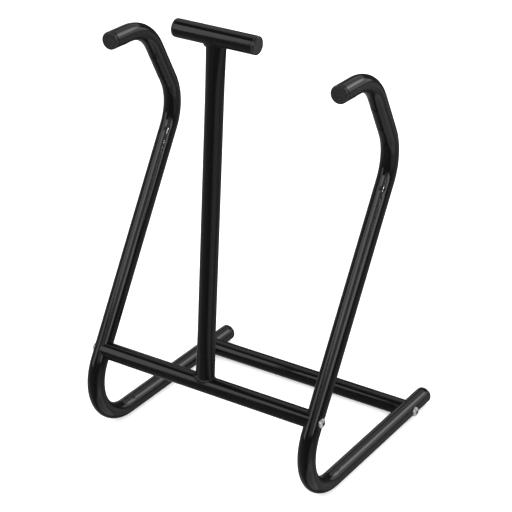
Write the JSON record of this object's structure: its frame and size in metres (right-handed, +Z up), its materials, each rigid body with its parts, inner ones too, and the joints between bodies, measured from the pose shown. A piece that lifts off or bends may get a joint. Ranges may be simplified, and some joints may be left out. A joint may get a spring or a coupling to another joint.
{
  "type": "bike repair stand",
  "caption": "Free-standing bike stand of bent black steel tube: side frames with floor rails and forward hooks, joined by crossbars, with a centre post and T-bar.",
  "frame": {"origin": "on the floor, under the middle of the whole stand's box", "axes": "+Z up, +Y to the open rear ends of the rails, +X across to the stand's right side frame; the hooks point along -Y"},
  "size_m": [0.3826, 0.3577, 0.638],
  "materials": {
    "frame_paint": "gloss black powder coat with light orange peel",
    "plug_plastic": "satin black moulded polyethylene",
    "zinc_steel": "bright zinc plate",
    "insert_steel": "plain turned steel"
  },
  "bodies": {
    "root": {"side_frame_left": "frame_paint", "side_frame_right": "frame_paint", "front_crossbar": "frame_paint", "rear_crossbar": "frame_paint", "centre_post": "frame_paint", "t_bar": "frame_paint", "post_foot_weld": "frame_paint", "post_top_weld": "frame_paint", "left_hook_plug": "plug_plastic", "left_rail_plug": "plug_plastic", "left_t_bar_plug": "plug_plastic", "right_hook_plug": "plug_plastic", "right_rail_plug": "plug_plastic", "right_t_bar_plug": "plug_plastic", "front_left_bolt": "zinc_steel", "front_left_threaded_insert": "insert_steel", "front_right_bolt": "zinc_steel", "front_right_threaded_insert": "insert_steel", "rear_left_bolt": "zinc_steel", "rear_left_threaded_insert": "insert_steel", "rear_right_bolt": "zinc_steel", "rear_right_threaded_insert": "insert_steel"}
  },
  "joints": []
}
